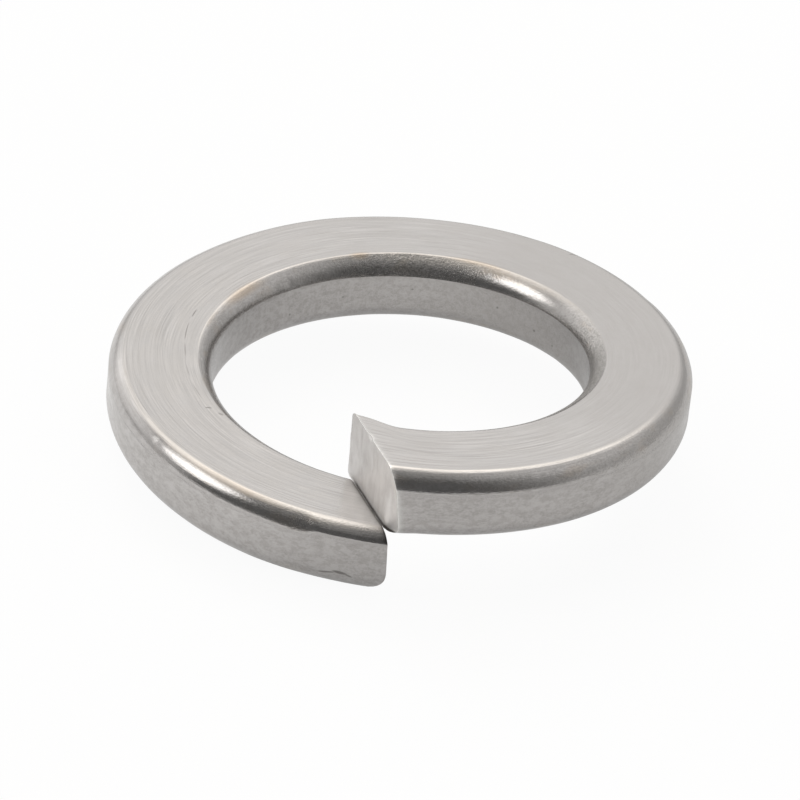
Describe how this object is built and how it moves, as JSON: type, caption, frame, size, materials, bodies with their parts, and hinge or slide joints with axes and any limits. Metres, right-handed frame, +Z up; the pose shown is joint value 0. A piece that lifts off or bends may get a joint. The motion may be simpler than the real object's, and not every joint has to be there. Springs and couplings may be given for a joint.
{
  "type": "spring lock washer",
  "caption": "Split spring lock washer: one helical turn of square-cornered steel wire with rounded edges, its two sheared ends offset in height to bite under a bolt head.",
  "frame": {"origin": "on the washer's axis, at the height of the lowest point of the low end", "axes": "+Z up along the bolt axis towards the high end; the slit faces -Y; left-hand helix, falling from the high end on the +X side of the slit round the back to the low end on the -X side"},
  "size_m": [0.0326, 0.0326, 0.008],
  "materials": {
    "steel": "satin"
  },
  "bodies": {
    "root": {"lock_washer": "steel"}
  },
  "joints": []
}
